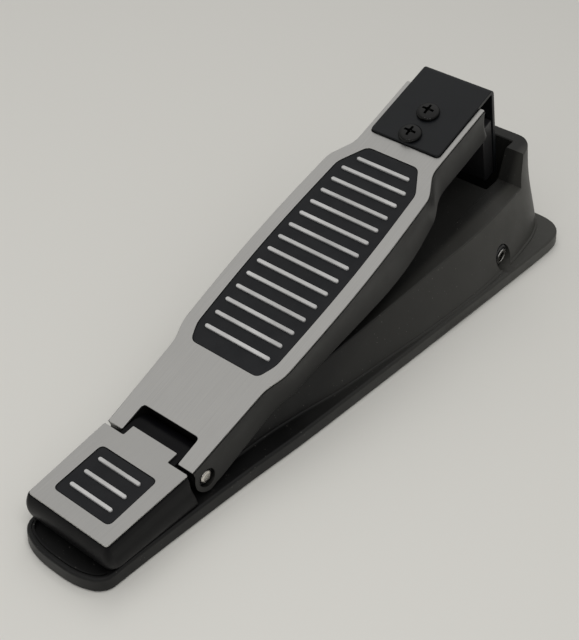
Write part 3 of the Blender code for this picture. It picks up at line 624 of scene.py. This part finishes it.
def heel_ring(z, shrink=0.0):
    side, front, rear, r = HEEL_LEVELS(z)
    flare = 3.2 * max(0.0, 17.5 - z) / 9.6
    w0, w1 = 23.7 + side, 25.2 + side + flare
    corners = [(w0, -0.4 - front), (w1, 46.9 + rear), (-w1, 46.9 + rear), (-w0, -0.4 - front)]
    points = softened(corners, [r, 1.6, 1.6, r], 7)
    lift = math.tan(HEEL_PITCH) if z > 20 else 0.0
    return [(x, y, z + y * lift) for x, y in (inset(points, shrink) if shrink else points)]


def make_heel():
    levels = [HEEL_FOOT + (24.0 - HEEL_FOOT) * i / 16 for i in range(17)]
    block = loft("heel_cover", [heel_ring(HEEL_FOOT, 0.5)] + [heel_ring(z) for z in levels]
                 + [heel_ring(24.15, 0.12), heel_ring(HEEL_TOP, 0.3)])
    web = [(40.0, HEEL_FOOT), (PIN_Y + 1.5, HEEL_FOOT), (PIN_Y + 1.5, 20.0), (PIN_Y, PIN_Z + 10.15),
           (40.0, 24.6)]
    knuckle = [(9.4, -16.3), (10.0, -16.1), (10.2, -15.6), (10.2, 15.6), (10.0, 16.1), (9.4, 16.3)]
    join(block, turned("knuckle", (0, PIN_Y, PIN_Z), "x", knuckle, segments=96),
         prism("web", web, -16.25, 16.25, along="x"))
    cut(block, turned("pin_bore", (0, PIN_Y, PIN_Z), "x", [(3.55, -40.0), (3.55, 40.0)]),
        prism("floor", rectangle(-60, 60, -30, 90), -5.0, 7.75))
    fit(block, "base", "heel_plastic", HEEL_BLACK, "heel_block")

    outline = softened([(23.4, 0), (25.1, 48.2), (13.3, 48.2), (13.3, 54.6), (-13.3, 54.6), (-13.3, 48.2),
                        (-25.1, 48.2), (-23.4, 0)], [1.6, 0.8, 0.9, 0.6, 0.6, 0.9, 0.8, 1.6])
    pad_outline = rectangle(-16.5, 16.5, 8.4, 37.9, 2.6)
    plate = prism("heel_plate_sheet", outline, -PLATE_THICK, 0.0, on_heel, edge=0.22)
    cut(plate, window("pad_window", pad_outline, on_heel))
    fit(plate, "base", "silver_plate", HEEL_SILVER, "heel_plate")
    pad = prism("heel_pad_inlay", pad_outline, -PLATE_THICK, -PAD_DROP, on_heel, edge=0.3)
    fit(pad, "base", "tread_rubber", PAD_BLACK, "heel_pad")
    for i in range(3):
        bar(f"heel_grip_{i + 1}", 12.4, 31.7 - 8.6 * i, 1.9, on_heel, "base", f"heel_bar_{i + 1}")


def window(name, outline, place):
    """Cutter for an inlay's opening in a plate: a hair wider than the inlay, its upper edge broken."""
    return loft(name, [[(x, s, n) for x, s in inset(outline, -d)]
                       for d, n in ((0.25, -5.0), (0.25, -0.22), (0.31, -0.07), (0.9, 0.18))], place)


def bar(name, half, s, width, place, body, node):
    """A round-ended grip bar across the pedal, half its length to each side, at station s."""
    r = width / 2
    ends = [(half - r + r * math.cos(a), s + r * math.sin(a))
            for a in (math.pi * (k / 8 - 0.5) for k in range(9))]
    outline = ends + [(-x, 2 * s - y) for x, y in ends]
    piece = prism(name, outline, -0.3, BAR_TOP, place, edge=0.38, steps=4)
    return fit(piece, body, "silver_bar", BAR_SILVER, node, smooth=60.0)


# ------------------------------------------------------------------ footboard
def bowed(x, start, end, bulge, steps=16):
    """Points along a side that bulges outwards between its two corners."""
    return [(x + bulge * math.sin(math.pi * k / steps), start + (end - start) * k / steps)
            for k in range(steps + 1)]


def both_sides(half):
    return half + [(-x, s) for x, s in reversed(half)]


PLATE_SIDE = [(27.2, 50.0)] + bowed(30.8, 60.4, 180.0, 1.8) + [(23.5, 194.0), (23.7, 243.0)]
SIDE_ROUND = [3.5, 3.5] + [0.0] * 15 + [4.0, 4.0, 0.6]
TREAD = both_sides([(19.9, 53.7)] + bowed(23.7, 62.8, 178.2, 1.6) + [(15.2, 193.4)])
TREAD_ROUND = [2.8, 2.8] + [0.0] * 15 + [2.8, 2.8]
# station along the board, depth of the skirt's rim below the plate's face
RIM = track([(-6, -18.5), (16, -18.0), (26, -17.0), (41, -15.8), (55, -14.0), (68, -13.4), (84, -14.7),
             (100, -16.2), (116, -18.4), (135, -21.2), (148, -22.0), (158, -21.4), (168, -19.4),
             (178, -16.2), (190, -16.4), (200, -16.9), (238, -17.2), (250, -16.8)])
BRACKET_HALF, BRACKET_START, SCREW_STATIONS, SCREW_HOLE = 20.7, 203.8, (210.0, 226.9), 3.3
BAR_COUNT, FIRST_BAR, BAR_STEP, BAR_WIDTH = 15, 63.8, 8.64, 2.05
EAR_RADIUS, BOSS_RADIUS = 7.0, 10.6
EAR_S = (PIN_Y - BOARD_START[0]) * BOARD_COS + (PIN_Z - BOARD_START[1]) * BOARD_SIN
EAR_N = -(PIN_Y - BOARD_START[0]) * BOARD_SIN + (PIN_Z - BOARD_START[1]) * BOARD_COS


def board_height(y, n):
    """Height of the plane n above the footboard's face, at a place along the base."""
    s = (y - BOARD_START[0] + n * BOARD_SIN) / BOARD_COS
    return BOARD_START[1] + s * BOARD_SIN + n * BOARD_COS


def board_outline(ears, ear_round, notch, notch_round, ease=0.0, steps=5):
    """Plan of the board: its two heel ears, its long sides, and the notch between the ears."""
    half_round = [ear_round, ear_round] + [r + ease if r else 0.0 for r in SIDE_ROUND]
    radii = half_round + half_round[::-1] + [notch_round] * 2
    return softened(both_sides(ears + PLATE_SIDE) + notch, radii, steps)


def board_plan(ease, counts=None):
    """Plan of the footboard's shell, with enough points along its sides for the wavy rim."""
    corners = board_outline([(17.2, -6.0), (25.3, -6.0)], 0.4, [(-17.2, 15.8), (17.2, 15.8)], 1.8, ease, 6)
    nexts = corners[1:] + corners[:1]
    if counts is None:
        counts = [max(1, round(math.dist(p, q) / 5.0)) for p, q in zip(corners, nexts)]
    out = []
    for p, q, n in zip(corners, nexts, counts):
        out += [(p[0] + (q[0] - p[0]) * k / n, p[1] + (q[1] - p[1]) * k / n) for k in range(n)]
    return out, counts


def make_board_shell():
    _, counts = board_plan(0.0)
    rings = []
    levels = 20
    for i in range(levels + 1):
        t = i / levels
        points, _ = board_plan(4.0 * t, counts)
        grow = 0.45 - 1.1 * t * (1 - t) + 1.9 * t ** 3
        rings.append([(x + math.copysign(grow, x) if abs(x) > 18.0 else x, s, -1.0 + t * (RIM(s)[0] + 1.0))
                      for x, s in points])
    for d, drop in ((0.12, 0.3), (0.4, 0.55), (0.8, 0.65)):
        rings.append([(x - math.copysign(d, x), s, n - drop) for x, s, n in rings[levels]])
    shell = loft("footboard_shell", rings, on_board)
    profile = [(260.0, 5.0), (260.0, -40.0), (16.0, -40.0), (16.0, -18.6)]
    for i in range(17):
        a = math.radians(-70 - 110.0 * i / 16)
        profile.append((EAR_S + EAR_RADIUS * math.cos(a), EAR_N + EAR_RADIUS * math.sin(a)))
    profile += [(EAR_S - 6.4, EAR_N + 3.6), (-0.2, -4.4), (-0.2, 5.0)]
    combine(shell, [prism("side_profile", profile, -60.0, 60.0, on_board, along="x")], "INTERSECT")
    inner = [(22.9, 18.4), (24.6, 50.0), (28.3, 61.2), (28.3, 179.2), (21.0, 193.4), (21.2, 240.2)]
    inner = softened(both_sides(inner), 2.0, 3)
    tools = [loft("underside", [[(x, s, -3.4) for x, s in inner],
                                [(x + math.copysign(1.2, x), s, -40.0) for x, s in inner]], on_board),
             prism("cross_gap", rectangle(-21.8, 21.8, 14.0, 20.0), -40.0, -12.0, on_board)]
    for side in (1, -1):
        low, high = sorted((side * 15.0, side * 40.0))
        tools.append(turned("ear_bore", (0, PIN_Y, PIN_Z), "x", [(4.72, low), (4.72, high)]))
    for s in SCREW_STATIONS:
        hole = [(SCREW_HOLE, -8.0), (SCREW_HOLE, 4.0)]
        tools.append(turned("screw_hole", (0, s, 0), "z", hole, on_board, 24))
    cut(shell, *tools)
    circle = [(BOSS_RADIUS * math.cos(TURN * k / 48), SPRING_Y + BOSS_RADIUS * math.sin(TURN * k / 48))
              for k in range(48)]
    join(shell, loft("spring_boss", [[(x, y, 62.0) for x, y in circle],
                                     [(x, y, board_height(y, -2.0)) for x, y in circle]]))
    cut(shell, turned("bolt_bore", (0, SPRING_Y, 0), "z", [(2.2, 55.0), (2.2, 66.6)], segments=24))
    fit(shell, "footboard", "board_plastic", BOARD_BLACK, "footboard_body", smooth=38.0)


def make_board_plate():
    outline = board_outline([(16.9, -0.3), (25.3, -0.3)], 0.8, [(-16.9, 15.0), (16.9, 15.0)], 2.2)
    plate = prism("footboard_sheet", outline, -PLATE_THICK, 0.0, on_board, edge=0.22)
    tread = softened(TREAD, TREAD_ROUND + TREAD_ROUND[::-1])
    gap = 0.35
    bay = rectangle(-BRACKET_HALF - gap, BRACKET_HALF + gap, BRACKET_START - gap, 300.0, 2.6)
    cut(plate, window("tread_window", tread, on_board), window("bracket_bay", inset(bay, 0.25), on_board))
    fit(plate, "footboard", "silver_plate", PLATE_SILVER, "footboard_plate")
    pad = prism("tread_inlay", tread, -PLATE_THICK, -PAD_DROP, on_board, edge=0.3)
    fit(pad, "footboard", "tread_rubber", PAD_BLACK, "tread_pad")
    for i in range(BAR_COUNT):
        last = i == BAR_COUNT - 1
        half = 15.8 if last else 19.4 + 1.9 * math.sin(math.pi * (i / 13.0) ** 0.85)
        bar(f"tread_grip_{i + 1:02d}", half, FIRST_BAR + BAR_STEP * i, BAR_WIDTH, on_board, "footboard",
            f"tread_bar_{i + 1:02d}")


# ------------------------------------------------------------------ toe bracket, guide block, screws
SHEET, BEND_OUT, LEG_FACE, LEG_END = 2.3, 3.7, 257.4, -62.2
BEND_IN = BEND_OUT - SHEET
BEND_AT = LEG_FACE - BEND_OUT - BRACKET_START          # along the flat sheet, where the bend begins
BEND_LENGTH = math.pi / 2 * (BEND_IN + SHEET / 2)


def bent(x, u, w):
    """A point of the flat sheet, u along it and w through it, on the bent bracket."""
    if u <= BEND_AT:
        return on_board(x, BRACKET_START + u, -PLATE_THICK + w)
    turn = min(1.0, (u - BEND_AT) / BEND_LENGTH) * math.pi / 2
    down = max(0.0, u - BEND_AT - BEND_LENGTH)
    r = BEND_IN + w
    return on_board(x, BRACKET_START + BEND_AT + r * math.sin(turn),
                    -PLATE_THICK - BEND_IN + r * math.cos(turn) - down)


def make_bracket():
    length = BEND_AT + BEND_LENGTH - PLATE_THICK - BEND_IN - LEG_END
    flat = prism("toe_bracket", rectangle(-BRACKET_HALF, BRACKET_HALF, 0.0, length, 2.4, 6), 0.0, SHEET,
                 unplaced, edge=0.45, foot=0.25)
    for s in SCREW_STATIONS:
        middle = s - BRACKET_START
        circle = [(SCREW_HOLE * math.cos(TURN * k / 32), middle + SCREW_HOLE * math.sin(TURN * k / 32))
                  for k in range(32)]
        cut(flat, prism("bracket_hole", circle, -1.0, 5.0, unplaced))
    bm = bmesh.new()
    bm.from_mesh(flat.data)
    bend_steps = 12
    for k in range(bend_steps + 1):
        bmesh.ops.bisect_plane(bm, geom=bm.verts[:] + bm.edges[:] + bm.faces[:], plane_no=(0, 1, 0),
                               plane_co=(0, BEND_AT + BEND_LENGTH * k / bend_steps, 0))
    for v in bm.verts:
        v.co = bent(*v.co)
    bmesh.ops.recalc_face_normals(bm, faces=bm.faces)
    bm.to_mesh(flat.data)
    bm.free()
    fit(flat, "footboard", "black_steel", BRACKET_BLACK, "bracket", smooth=40.0)

    front, back = LEG_FACE - SHEET - 8.9, LEG_FACE - SHEET - 0.2
    block = [(front, -20.0), (back, -20.0), (back, -61.2), (front, -61.4)]
    side = softened(block[::-1], [2.4, 0.6, 0.6, 0.6])
    guide = prism("guide_slider", side, -19.95, 19.95, on_board, edge=0.5, foot=0.5, along="x")
    join(guide, prism("finger", rectangle(-16.6, -12.4, 246.4, 250.4, 0.4, 2), -69.9, -60.0, on_board))
    fit(guide, "footboard", "guide_plastic", GUIDE_BLACK, "guide_block")


def cross_recess(centre, place, depth, reach, top):
    """Cutter for a cross recess: two tapered blades and a core."""
    x, s = centre
    tools = []
    for across in (True, False):
        rings = []
        for n, long, wide in ((top - depth, 0.25 * reach, 0.45), (top - 0.35 * depth, 0.8 * reach, 0.62),
                              (top + 1.0, 1.12 * reach, 0.80)):
            half_x, half_s = (long, wide) if across else (wide, long)
            rings.append([(x + half_x, s - half_s, n), (x + half_x, s + half_s, n),
                          (x - half_x, s + half_s, n), (x - half_x, s - half_s, n)])
        tools.append(loft("blade", rings, place))
    core = [(0.2, top - depth - 0.5), (1.0, top - depth + 0.5), (1.5, top + 1.0)]
    return tools + [turned("core", (x, s, 0), "z", core, place, 16)]


def make_bracket_screws():
    for i, s in enumerate(SCREW_STATIONS):
        dome = [(6.15 * math.cos(a) ** 0.72, 2.2 + 2.4 * math.sin(a))
                for a in (math.pi / 2 * k / 14 for k in range(14))]
        shank = [(2.4, -10.2), (2.9, -9.6), (2.9, 1.45), (5.8, 1.45), (6.05, 1.75)]
        screw = turned(f"pan_screw_{i + 1}", (0, s, 0), "z", shank + dome, on_board, 64)
        cut(screw, *cross_recess((0, s), on_board, 2.8, 3.6, 4.5))
        round_edges(screw, 0.10, 2, 50.0)
        fit(screw, "footboard", "black_screw", SCREW_BLACK, f"bracket_screw_{i + 1}", smooth=50.0)


# ------------------------------------------------------------------ hinge, spring, socket
def make_hinge():
    ends = [(2.0, 26.25), (2.75, 26.1), (3.2, 25.75), (3.4, 25.2)]
    profile = [(r, -h) for r, h in ends] + [(r, h) for r, h in reversed(ends)]
    pin = turned("pivot_pin", (0, PIN_Y, PIN_Z), "x", profile)
    fit(pin, "base", "pin_steel", PIN_STEEL, "hinge_pin", smooth=50)
    for side, name in ((1, "right"), (-1, "left")):
        loop = [(4.6, 17.4), (4.6, 24.6), (4.4, 24.9), (3.7, 24.9), (3.48, 24.7), (3.48, 17.4)]
        bush = ring(f"pivot_bush_{name}", (0, PIN_Y, PIN_Z), [(r, side * h) for r, h in loop])
        fit(bush, "footboard", "bush_plastic", PART_BLACK, f"hinge_bush_{name}")


def make_spring():
    """Coil with a closed turn at each end. It is drawn at one length; the real spring shortens as the
    footboard comes down.
    """
    low, high, radius, wire, turns, per_turn = 34.7, 61.9, 8.4, 0.75, 6.5, 28
    count = round(turns * per_turn)
    closed, pitch_share = 1.0 / turns, 0.075
    points = []
    for i in range(count + 1):
        t = i / count
        if t < closed:
            h = t / closed * pitch_share
        elif t > 1 - closed:
            h = 1 - (1 - t) / closed * pitch_share
        else:
            h = pitch_share + (t - closed) / (1 - 2 * closed) * (1 - 2 * pitch_share)
        a = TURN * turns * t
        z = low + wire + h * (high - low - 2 * wire)
        points.append(at(radius * math.cos(a), SPRING_Y + radius * math.sin(a), z))
    spring = tube("coil_spring", points, wire)
    fit(spring, "base", "spring_steel", SPRING_STEEL, "return_spring", smooth=60)
    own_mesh(spring)


def make_socket():
    nut = [(4.62, 47.35), (6.2, 47.35), (6.35, 47.6), (6.35, 48.5), (6.1, 48.85), (5.2, 48.95), (4.75, 48.7)]
    fit(ring("socket_ring", (0, JACK_Y, JACK_Z), nut), "base", "nut_plating", PART_BLACK, "jack_nut")
    sleeve = [(3.05, 30.0), (3.28, 30.0), (3.28, 49.2), (4.35, 49.55), (4.3, 49.85), (3.2, 49.9),
              (3.05, 49.6)]
    fit(ring("socket_sleeve", (0, JACK_Y, JACK_Z), sleeve), "base", "nut_plating", NICKEL)


# ------------------------------------------------------------------ parts kept from the frame
# node, slot, material, width of its broken edges
PLAIN = [("bottom_cover", "cover_plastic", COVER_BLACK, 0.4), ("stop_bolt", "zinc_steel", ZINC, 0.15),
         ("stop_washer", "soft_rubber", SOFT_BLACK, 0.3), ("down_bumper", "soft_rubber", SOFT_BLACK, 0.6),
         ("circuit_board", "circuit_green", BOARD_GREEN, 0.1), ("pot_body", "part_plastic", PART_BLACK, 0.3),
         ("pot_slider", "guide_plastic", GUIDE_BLACK, 0.15), ("jack_body", "part_plastic", PART_BLACK, 0.3),
         ("jack_wire_1", "wire_cover", WIRE_RED, 0.0), ("jack_wire_2", "wire_cover", PART_BLACK, 0.0),
         ("sensor_wire", "wire_cover", WIRE_RED, 0.0)]
PLAIN += [(f"rubber_foot_{i}", "soft_rubber", SOFT_BLACK, 0.25) for i in range(1, 5)]
PLAIN += [(f"cover_screw_{i}", "zinc_steel", ZINC, 0.12) for i in range(1, 5)]
PLAIN += [(f"{part}_{i}", "zinc_steel", ZINC, 0.12)
          for part in ("bracket_nut", "board_screw") for i in (1, 2)]


def finish_plain_parts():
    for name, slot_name, material, edge in PLAIN:
        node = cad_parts[name]
        node.data.materials.clear()
        node.data.materials.append(material)
        node.data.shade_smooth()
        node.data.set_sharp_from_angle(angle=math.radians(35))
        if edge:
            m = node.modifiers.new("edges", "BEVEL")
            m.width = edge / 1000.0
            m.segments = 2
            m.limit_method = "ANGLE"
            m.angle_limit = math.radians(50)


# ------------------------------------------------------------------ camera, floor, lights
def aim(obj, back, roll=0.0):
    """Turns a camera or light so that it looks against the direction back."""
    obj.rotation_mode = "QUATERNION"
    turn = (-back).to_track_quat("-Z", "Y")
    obj.rotation_quaternion = turn @ Matrix.Rotation(roll, 4, "Z").to_quaternion()


CAMERA_PLACE, CAMERA_LENS, SENSOR_WIDTH = (0.2575, -0.3385, 0.4124), 64.675, 36.0
CAMERA_TURN, CAMERA_LIFT, CAMERA_ROLL = math.radians(37.973), math.radians(42.486), math.radians(-0.083)


def make_camera():
    data = bpy.data.cameras.new("camera")
    data.lens, data.sensor_width = CAMERA_LENS, SENSOR_WIDTH
    data.clip_start, data.clip_end = 0.01, 20.0
    camera = bpy.data.objects.new("camera", data)
    bpy.context.scene.collection.objects.link(camera)
    camera.location = CAMERA_PLACE
    level = math.cos(CAMERA_LIFT)
    back = (math.sin(CAMERA_TURN) * level, -math.cos(CAMERA_TURN) * level, math.sin(CAMERA_LIFT))
    aim(camera, Vector(back), CAMERA_ROLL)
    bpy.context.scene.camera = camera


def area_light(name, place, target, size, power, colour=(1.0, 1.0, 1.0)):
    data = bpy.data.lights.new(name, "AREA")
    data.shape = "RECTANGLE"
    data.size, data.size_y = size, size
    data.energy, data.color = power, colour
    lamp = bpy.data.objects.new(name, data)
    bpy.context.scene.collection.objects.link(lamp)
    lamp.location = place
    aim(lamp, (Vector(place) - Vector(target)).normalized())
    return lamp


# the far paper colour is the near one darkened as painted shade
NEAR_PAPER, FAR_PAPER_PAINTED_SHADE = (0.735, 0.73, 0.70), (0.640, 0.635, 0.610)
SKY, LAMP_WARMTH = (1.0, 0.99, 0.97), (1.0, 0.985, 0.955)


def make_floor():
    """Pale paper, made a little darker away from the camera by painted shade."""
    bpy.ops.mesh.primitive_plane_add(size=6.0, location=(0, 0, 0))
    floor = bpy.context.object
    floor.name = "floor"
    material, tree, shader = new_material("floor_paper", NEAR_PAPER, 0.85, specular=0.2)
    # painted shade: the paper darkens further from the camera
    painted_shade_away = remap(tree, object_axes(tree)["Y"], -0.15, 0.45, 0.0, 1.0)
    tree.links.new(colours(tree, painted_shade_away, NEAR_PAPER, FAR_PAPER_PAINTED_SHADE), shader.inputs["Base Color"])
    floor.data.materials.append(material)


def make_sky():
    """Soft light from all round, stronger from overhead."""
    world = bpy.data.worlds.new("room")
    world.use_nodes = True
    tree = world.node_tree
    background = tree.nodes["Background"]
    background.inputs["Color"].default_value = (*SKY, 1.0)
    split = tree.nodes.new("ShaderNodeSeparateXYZ")
    tree.links.new(tree.nodes.new("ShaderNodeTexCoord").outputs["Generated"], split.inputs[0])
    tree.links.new(remap(tree, split.outputs["Z"], 0.3, 0.75, 0.25, 0.60), background.inputs["Strength"])
    bpy.context.scene.world = world


def make_lamps():
    """Two large soft lamps that no surface mirrors, and three small ones that make glints."""
    for name, place, size, power in (("right_lamp", (0.6, -0.35, 1.5), 0.7, 6.6),
                                     ("left_lamp", (-0.55, 0.65, 1.5), 0.8, 4.2)):
        area_light(name, place, (0, 0, 0), size, power, LAMP_WARMTH).visible_glossy = False
    for i, place in enumerate(((0.34, -0.98, 0.86), (0.80, -0.86, 0.66), (-0.12, -1.05, 0.84))):
        area_light(f"glint_{i + 1}", place, (0, 0.1, 0.08), 0.05, 0.20)


make_base()
make_heel()
make_board_shell()
make_board_plate()
make_bracket()
make_bracket_screws()
make_hinge()
make_spring()
make_socket()
finish_plain_parts()
make_camera()
make_floor()
make_sky()
make_lamps()
bpy.context.scene.view_settings.view_transform = "Standard"
